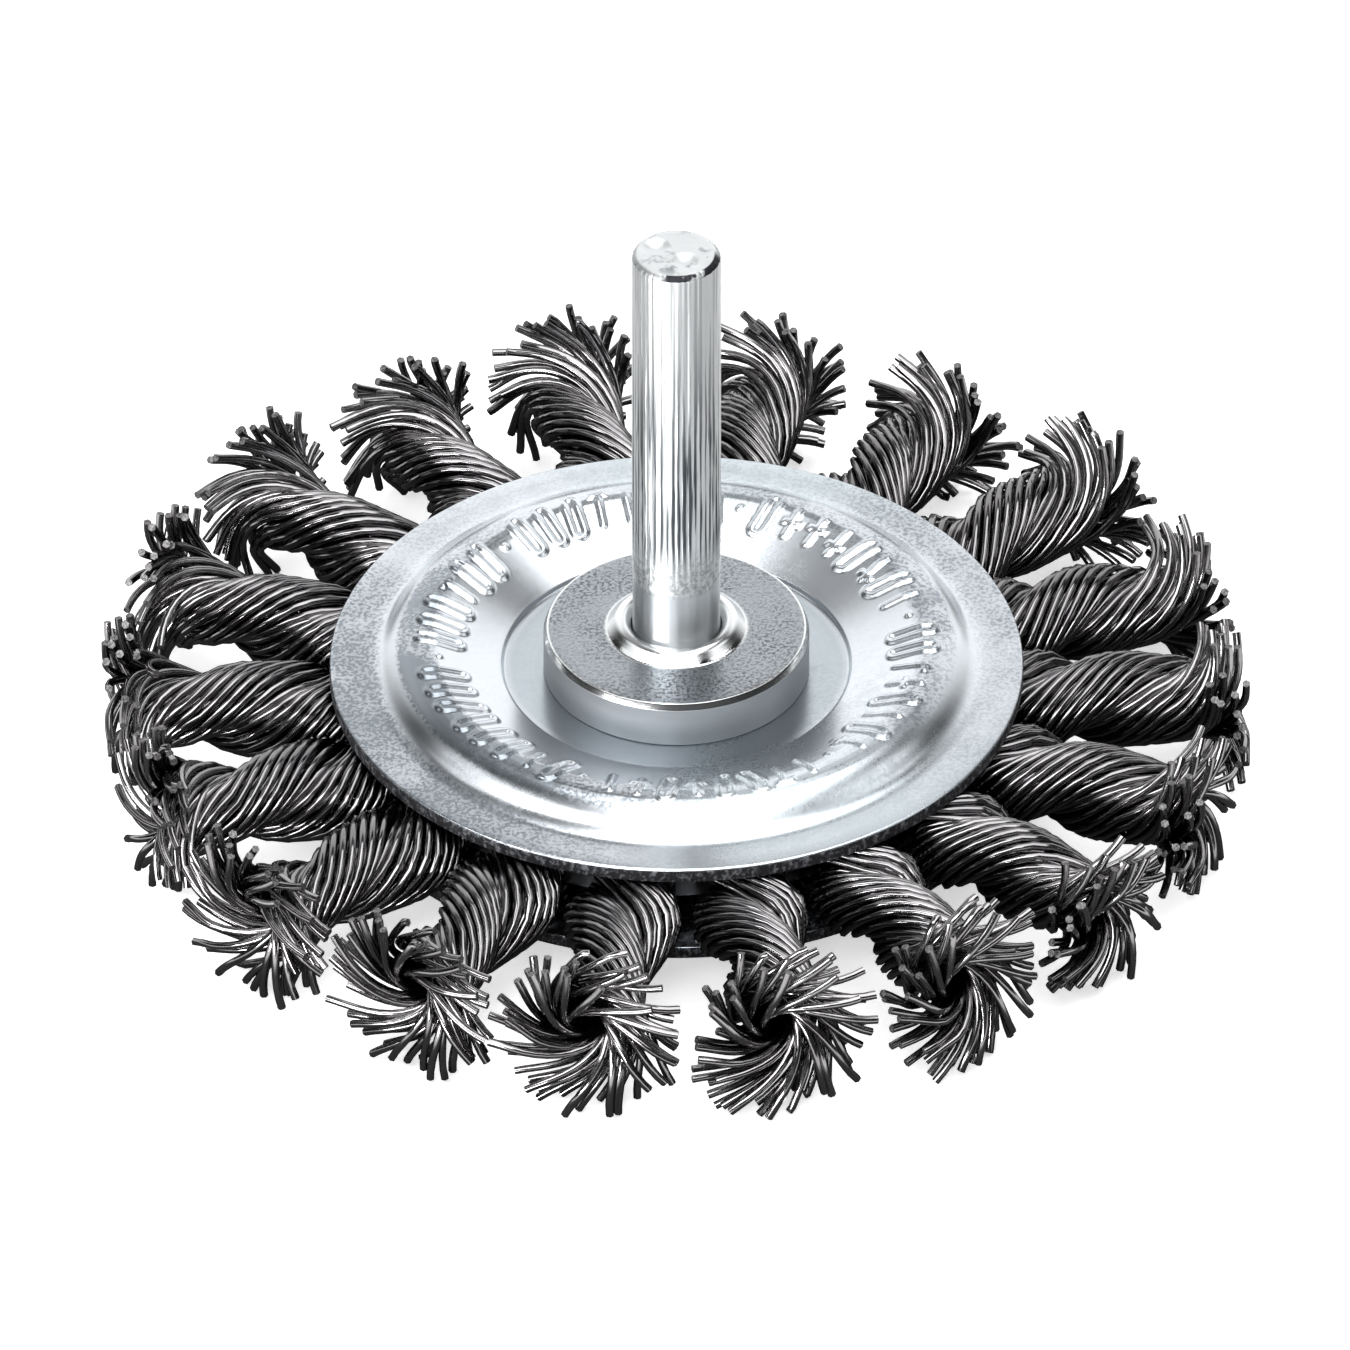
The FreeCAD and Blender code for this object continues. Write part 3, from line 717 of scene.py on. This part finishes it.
    lines = bench.add("GeometryNodeStoreNamedAttribute", {"data_type": "FLOAT", "domain": "POINT"},
                      {"Geometry": lines, "Name": "wireTone", "Value": toneOfWire})
    lines = bench.add("GeometryNodeSetPosition", {}, {"Geometry": lines,
                                                      "Position": bench.vector(out, y, z)})
    section = bench.add("GeometryNodeCurvePrimitiveCircle", {"mode": "RADIUS"},
                        {"Resolution": s["sides"], "Radius": thick * 0.5})
    wires = bench.add("GeometryNodeCurveToMesh", {},
                      {"Curve": lines, "Profile Curve": section, "Fill Caps": True})
    corners = bench.add("GeometryNodeInputMeshFaceNeighbors", {}, {}, "Vertex Count")
    isCut = corners > 4.5
    wires = bench.add("GeometryNodeSetShadeSmooth", {"domain": "FACE"},
                      {"Geometry": wires, "Shade Smooth": bench.add(
                          "FunctionNodeCompare", {"data_type": "FLOAT", "operation": "LESS_THAN"},
                          {"A": corners, "B": 4.5})})
    wires = bench.add("GeometryNodeTransform", {}, {
        "Geometry": wires, "Translation": (0.0, 0.0, middleHeight),
        "Rotation": bench.vector(0.0, 0.0, given["Turn"])})
    wires = bench.add("GeometryNodeRealizeInstances", {}, {"Geometry": wires})
    wires = bench.add("GeometryNodeSetMaterial", {}, {"Geometry": wires, "Material": wireSteel})
    wires = bench.add("GeometryNodeSetMaterial", {}, {"Geometry": wires, "Material": cutSteel,
                                                     "Selection": isCut})
    closeGeometryTree(bench, wires)
    return tree


def makeKnots():
    tree = knotTree()
    made = []
    for i, (seed, across, up, longer) in enumerate(knotSizes["own"]):
        name = "twisted_knot_%02d" % (i + 1)
        opened = knotSizes["sideways"] + (knotSizes["wider"] if i in knotSizes["wideOpen"] else 0.0)
        piece = meshObject(name, [], [], [])
        runTree(piece, tree, {"Seed": seed, "Lean Across": across * mm, "Lean Up": up * mm,
                              "Sideways": opened * mm, "Pitch": (knotSizes["pitch"] + longer) * mm,
                              "Turn": 2 * math.pi * i / knotSizes["count"]})
        standIn(piece, "steel_wire", "knot_%02d" % (i + 1))
        made.append(piece)
    return made


knots = makeKnots()
print("knots:", len(knots), "with", len(knots[0].data.polygons), "faces each")


# face plates

plateSizes = {
    "bore": 2.55,
    "seat": 11.7,
    "ridge": 18.1, "crease": 20.3, "rim": 23.5,
    "sheet": 1.0,
    "seatTop": 3.3, "flangeTop": 3.75, "ridgeTop": 5.9,  # above the middle plane
    "upperRounds": [0.3, 0.15, 3.1, 2.0, 0.22], "lowerRounds": [0.08, 1.2, 0.6, 1.0],
    "reliefStep": 0.135, "plainStep": 1.5, "underStep": 2.0,  # longest face across each part
    "around": 720,
    "marks": 52, "markWidth": 1.34, "markInner": 14.2, "markOuter": 17.9, "markHeight": 0.16,
    "stroke": 0.22,  # half the width of a raised line
    "dotEvery": 9.0, "lean": 0.14,
}


def plateLine():
    p = plateSizes
    top = [(p["bore"], p["seatTop"]), (p["seat"], p["seatTop"]), (p["seat"] + 0.175, p["seatTop"] + 0.35),
           (p["ridge"], p["ridgeTop"]), (p["crease"], p["flangeTop"]), (p["rim"], p["flangeTop"]),
           (p["rim"], p["flangeTop"] - 0.5)]
    upper = roundedLine(top, p["upperRounds"], 7)
    low = p["flangeTop"] - p["sheet"]
    under = [(p["rim"], low + 0.4), (p["rim"], low), (p["crease"] - 0.3, low),
             (p["ridge"] + 0.1, p["ridgeTop"] - 1.55),
             (p["seat"] + 0.25, p["seatTop"] - p["sheet"]), (p["bore"], p["seatTop"] - p["sheet"])]
    lower = roundedLine(under, p["lowerRounds"], 4)
    fine = [upper[0]]
    for a, b in zip(upper, upper[1:]):
        inRelief = p["seat"] + 1.0 < (a[0] + b[0]) / 2 < p["ridge"]
        fine += finer([a, b], p["reliefStep"] if inRelief else p["plainStep"])[1:]
    above = [(r * mm, middleHeight + z * mm) for r, z in fine]
    below = [(r * mm, middleHeight + z * mm) for r, z in finer(lower, p["underStep"])]
    return above, below


def reliefTree():
    p = plateSizes
    tree, bench, given = newGeometryTree("stampedRelief", {
        "Mark Count": p["marks"],
        "Inner Radius": p["markInner"] * mm, "Outer Radius": p["markOuter"] * mm,
        "Mark Width": p["markWidth"] * mm, "Mark Height": p["markHeight"] * mm,
        "Stroke": p["stroke"] * mm, "Seed": 5})
    x, y = bench.split(bench.add("GeometryNodeInputPosition", {}, {}))[:2]
    nx, ny, nz = bench.split(bench.add("GeometryNodeInputNormal", {}, {}))
    radius = (x * x + y * y).root()
    turn = y.maths("ARCTAN2", y, x) / (2 * math.pi) + 0.5
    cells = given["Mark Count"] * 1.0
    cell = (turn * cells).floor() % cells
    across = ((turn * cells) % 1.0 - 0.5) * (2 * math.pi) * radius / cells
    halfLength = (given["Outer Radius"] - given["Inner Radius"]) / 2.0
    middle = (given["Outer Radius"] + given["Inner Radius"]) / 2.0
    pick = bench.add("FunctionNodeRandomValue", {"data_type": "FLOAT"},
                     {"Min": 0.0, "Max": 1.0, "ID": cell, "Seed": given["Seed"]})
    lean = bench.add("FunctionNodeRandomValue", {"data_type": "FLOAT"},
                     {"Min": -1.0, "Max": 1.0, "ID": cell, "Seed": given["Seed"] + 1.0})
    dot = (cell % p["dotEvery"]) < 0.5
    loop = (pick > 0.5) * (1.0 - dot)
    barred = (pick < 0.3) * (1.0 - dot)
    leaning = (radius - middle) * p["lean"]
    across = across + leaning * (lean > 0.4) - leaning * (lean < -0.4)
    bow = given["Mark Width"] / 2.0 - given["Stroke"]
    stretch = (halfLength - given["Mark Width"] / 2.0) * (1.0 - dot)
    beyond = (abs(radius - middle) - stretch).most(0.0)
    distance = abs((across * across + beyond * beyond).root() - bow * loop)
    bar = abs(radius - middle - lean * halfLength * 0.8).most(abs(across) - bow) + (1.0 - barred) * mm
    distance = distance.least(bar)
    swell = distance.ramp(given["Stroke"] * 0.35, given["Stroke"] * 1.45, 1.0, 0.0)
    lift = swell * given["Mark Height"] * (nz > 0.5)
    moved = bench.add("GeometryNodeSetPosition", {}, {
        "Geometry": given["Geometry"], "Offset": bench.vector(nx * lift, ny * lift, nz * lift)})
    moved = bench.add("GeometryNodeRealizeInstances", {}, {"Geometry": moved})
    finished = bench.add("GeometryNodeSetMaterial", {}, {
        "Geometry": moved, "Material": brightZinc,
        "Selection": bench.add("FunctionNodeCompare", {"data_type": "FLOAT", "operation": "LESS_THAN"},
                               {"A": radius, "B": (p["rim"] - 0.03) * mm})})
    closeGeometryTree(bench, finished)
    return tree


def makePlates():
    p = plateSizes
    upper, lower = plateLine()
    line = upper + lower
    edgeFrom, edgeTo = len(upper) - 4, len(upper) + 5
    marks = [1 if edgeFrom <= i < edgeTo and line[i][0] > (p["rim"] - 0.02) * mm else 0
             for i in range(len(line))]
    line.append(line[0])
    marks.append(0)
    upperPlate = turnedPiece("stamped_plate_upper", line[::-1], p["around"], [brightZinc, shearedEdge],
                             marks[::-1])
    bpy.context.view_layer.update()
    runTree(upperPlate, reliefTree(), {})
    lowerMesh = upperPlate.data.copy()
    middle = Vector((0.0, 0.0, middleHeight))
    lowerMesh.transform(Matrix.Translation(middle) @ Matrix.Rotation(math.pi, 4, "X")
                        @ Matrix.Translation(-middle))
    lowerPlate = bpy.data.objects.new("stamped_plate_lower", lowerMesh)
    bpy.context.scene.collection.objects.link(lowerPlate)
    standIn(upperPlate, "plated_sheet", "upper_face_plate")
    standIn(lowerPlate, "plated_sheet", "lower_face_plate")
    return upperPlate, lowerPlate


plates = makePlates()
print("face plates:", len(plates[0].data.polygons), "faces each")


# collar and shank

collarSizes = {
    "bore": 3.08, "radius": 9.0, "bevel": 0.22, "bevelHeight": 0.44,
    "lipFoot": 4.75, "lip": 4.0, "lipTop": 0.8, "crevice": 3.45, "creviceDepth": 0.5,
    "rounds": [0.12, 0.06, 0.06, 0.25, 0.8, 0.3, 0.05],
    "around": 192,
}


def makeCollar():
    c = collarSizes
    low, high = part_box("collar")
    bottom, top = low.z / mm, high.z / mm
    face = top - c["lipTop"]
    line = roundedLine([
        (c["bore"], bottom), (c["radius"], bottom), (c["radius"], face - c["bevelHeight"]),
        (c["radius"] - c["bevel"], face), (c["lipFoot"], face), (c["lip"], top), (c["crevice"], top),
        (c["bore"], top - c["creviceDepth"]), (c["bore"], bottom)], c["rounds"], 6)
    line = finer(line, 0.9)
    piece = turnedPiece("turned_collar", [(r * mm, z * mm) for r, z in line], c["around"], [turnedCollar])
    standIn(piece, "collar_steel", "collar")


shankSizes = {
    "radius": 3.0, "seatRadius": 2.96, "root": 2.97, "tenon": 2.5,
    "head": 4.8, "headHeight": 1.1, "headBevel": 0.7,
    "drawnRise": 0.25,  # from the ground seat to the drawn skin
    "grooveFrom": 18.0, "grooveGrows": 3.0, "draw": 0.06,  # start, length and depth of the lines
    "rounds": [0.5, 0.5, 0.1, 0, 0, 0, 0.12, 0.05, 0.1, 0.1, 0.18],
    "face": 2.4,  # the flat part of the sheared end
    "dents": [(-1.3, 0.75, 1.0, 0.30), (0.6, -0.85, 0.95, 0.26)],  # x, y, size, depth
    "around": 330,
}


def makeShank():
    s = shankSizes
    low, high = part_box("shank")
    bottom, top = low.z / mm, high.z / mm
    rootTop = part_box("collar")[1].z / mm
    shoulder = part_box("collar")[0].z / mm
    seatTop = shankFinish["drawnFrom"] / mm
    side = roundedLine([
        (0.0, bottom), (s["head"] - s["headBevel"], bottom), (s["head"], bottom + s["headBevel"]),
        (s["head"], bottom + s["headHeight"]), (s["tenon"], bottom + s["headHeight"]),
        (s["tenon"], shoulder), (s["root"], shoulder), (s["root"], rootTop),
        (s["seatRadius"], rootTop + 0.02), (s["seatRadius"], seatTop),
        (s["radius"], seatTop + s["drawnRise"]),
        (s["radius"], top - 0.35), (s["radius"] - 0.32, top - 0.05)], s["rounds"], 4)
    side = finer(side, 1.2)
    face = [(s["face"], top - 0.04)] + [(s["face"] * k / 9, top - 0.05) for k in range(8, -1, -1)]
    line = [(r * mm, z * mm) for r, z in side + face]
    marks = [1 if i >= len(side) - 3 else 0 for i in range(len(line))]

    def sheared(radius, height, angle):
        x, y, z = radius / mm * math.cos(angle), radius / mm * math.sin(angle), height / mm
        if z > top - 0.06 and radius / mm < 2.6:
            for dentX, dentY, size, depth in s["dents"]:
                away = math.hypot(x - dentX, y - dentY) / size
                z -= depth * max(0.0, 1.0 - away * away)
        if z > s["grooveFrom"] and radius / mm > 2.9:
            wave = (math.sin(angle * 37) + math.sin(angle * 23 + z * 0.05)
                    + math.sin(angle * 51 + 1.3)) / 3
            grown = min(1.0, (z - s["grooveFrom"]) / s["grooveGrows"])
            radius -= s["draw"] * mm * max(0.0, wave) * grown
        return radius, z * mm

    piece = turnedPiece("drawn_shank", line, s["around"], [drawnShank, shearedEnd], marks, sheared)
    standIn(piece, "shank_steel", "shank")


makeCollar()
makeShank()
print("collar and shank made")

for name in ("upper_spacer", "lower_spacer", "knot_plate", "rivet_washer"):
    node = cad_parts[name]
    finish = brightZinc if name == "rivet_washer" else plainSteel
    if not node.data.materials:
        node.data.materials.append(finish)
    for held in node.material_slots:
        held.material = finish
print("plain pieces finished")


# studio

studio = {
    "azimuth": -91.5, "elevation": 36.82, "distance": 1.872, "lens": 736.2,
    "aimLeft": 0.093, "aimUp": 2.03,
    "floorSize": 1.6, "floorSolid": 0.16, "floorEdge": 0.62, "floorLift": 0.55,
    "floorColour": 0.93,
    "darkUnder": 0.046, "brightBeyond": 0.062,  # the floor as the metal mirrors it: a painted shadow, dark near the object, then pale
    "surround": 0.22,
    "mirrorBack": 1.3, "mirrorFront": 0.05, "mirrorSides": 0.03,
    "mirrorTop": (0.62, 0.72), "backAcross": (0.45, 0.9), "frontAcross": (-0.95, -0.5),
    "darkShare": 0.96, "darkColour": 0.03,
    # name, angle round the object from the camera's side, height angle, distance, width, height, watts,
    # shift to the right
    "lamps": [("overhead", 0.0, 84.0, 0.75, 0.56, 1.0, 5.9, 0.10),
              ("backLeft", -147.0, 57.0, 0.8, 0.50, 0.34, 0.15, 0.0),
              ("frontLow", -38.0, 6.0, 0.8, 0.54, 0.11, 5.2, 0.0),
              ("left", -88.0, 42.0, 0.8, 0.40, 0.30, 0.42, 0.0),
              ("right", 88.0, 42.0, 0.8, 0.44, 0.26, 0.5, 0.0),
              ("frontLeft", -37.0, 46.0, 0.8, 0.80, 0.26, 4.7, 0.0)],
}


def direction(turn, height):
    turn, height = math.radians(turn), math.radians(height)
    return Vector((math.cos(height) * math.cos(turn), math.cos(height) * math.sin(turn),
                   math.sin(height)))


def makeStudio():
    s = studio
    centre = Vector((0.0, 0.0, middleHeight))
    camera = bpy.data.objects.new("camera", bpy.data.cameras.new("camera"))
    bpy.context.scene.collection.objects.link(camera)
    camera.data.sensor_width = 36.0
    camera.data.lens = s["lens"]
    camera.data.clip_start, camera.data.clip_end = 0.1, 20.0
    back = direction(s["azimuth"], s["elevation"])
    facing = (-back).to_track_quat("-Z", "Y")
    right, up = facing @ Vector((1.0, 0.0, 0.0)), facing @ Vector((0.0, 1.0, 0.0))
    camera.rotation_mode = "QUATERNION"
    camera.rotation_quaternion = facing
    camera.location = centre + back * s["distance"] - right * s["aimLeft"] * mm + up * s["aimUp"] * mm
    bpy.context.scene.camera = camera

    for name, turn, height, distance, wide, tall, watts, shift in s["lamps"]:
        lamp = bpy.data.lights.new(name, "AREA")
        lamp.shape = "RECTANGLE"
        lamp.size, lamp.size_y, lamp.energy = wide, tall, watts
        holder = bpy.data.objects.new(name, lamp)
        bpy.context.scene.collection.objects.link(holder)
        way = direction(s["azimuth"] + turn, height)
        holder.location = centre + way * distance + right * shift
        holder.rotation_mode = "QUATERNION"
        holder.rotation_quaternion = (-way).to_track_quat("-Z", "Y")

    half = s["floorSize"] / 2
    material, bench = newMaterial("paleFloor")
    seen = bench.add("ShaderNodeLightPath", {}, {}, "Is Camera Ray")
    under = bench.add("ShaderNodeNewGeometry", {}, {}, "Backfacing")
    x, y = bench.split(bench.add("ShaderNodeTexCoord", {}, {}, "Object"))[:2]
    away = (x * x + y * y).root()
    faded = away.ramp(s["floorSolid"], s["floorEdge"])
    # painted shadow: near the object the floor turns dark for glossy rays
    near = away.ramp(s["darkUnder"], s["brightBeyond"], s["darkShare"], 0.0)
    mirroredShadow = bench.other(seen, "Is Glossy Ray") * near
    pale, dark = (bench.add("ShaderNodeBsdfDiffuse", {}, {"Color": (grey, grey, grey, 1.0)}, "BSDF")
                  for grey in (s["floorColour"], s["darkColour"]))
    lit = bench.add("ShaderNodeEmission", {}, {"Strength": s["floorLift"]}, "Emission")
    lifted = bench.add("ShaderNodeAddShader", {}, {0: pale, 1: lit})
    pale = bench.add("ShaderNodeMixShader", {}, {0: seen, 1: pale, 2: lifted})
    pale = bench.add("ShaderNodeMixShader", {}, {0: mirroredShadow, 1: pale, 2: dark})
    clear = bench.add("ShaderNodeBsdfTransparent", {}, {}, "BSDF")
    both = bench.add("ShaderNodeMixShader", {}, {0: under.most(faded), 1: pale, 2: clear})
    bench.add("ShaderNodeOutputMaterial", {}, {"Surface": both})
    corners = [(-half, -half, 0.0), (half, -half, 0.0), (half, half, 0.0), (-half, half, 0.0)]
    floor = meshObject("floor", corners, [(0, 1, 2, 3)], [material], None, False)

    world = bpy.data.worlds.new("studio")
    bpy.context.scene.world = world
    world.use_nodes = True
    world.node_tree.nodes.clear()
    bench = Bench(world.node_tree)
    seen = bench.add("ShaderNodeLightPath", {}, {}, "Is Camera Ray")
    mirrored = bench.other(seen, "Is Glossy Ray")
    x, y, z = bench.split(bench.add("ShaderNodeTexCoord", {}, {}, "Generated"))
    flat = (x * x + y * y).root().most(0.001)
    behind = -(x * back.x + y * back.y) / (flat * math.cos(math.radians(s["elevation"])))
    low = z.ramp(*s["mirrorTop"], 1.0, 0.0)
    mirror = s["mirrorSides"] + low * (behind.ramp(*s["backAcross"]) * s["mirrorBack"]
                                       + behind.ramp(*s["frontAcross"], 1.0, 0.0) * s["mirrorFront"])
    strength = seen + (1.0 - seen) * (mirrored * mirror + (1.0 - mirrored) * s["surround"])
    sky = bench.add("ShaderNodeBackground", {}, {"Color": (1.0, 1.0, 1.0, 1.0), "Strength": strength})
    bench.add("ShaderNodeOutputWorld", {}, {"Surface": sky})
    bpy.context.scene.view_settings.view_transform = "Standard"


makeStudio()
print("studio ready")
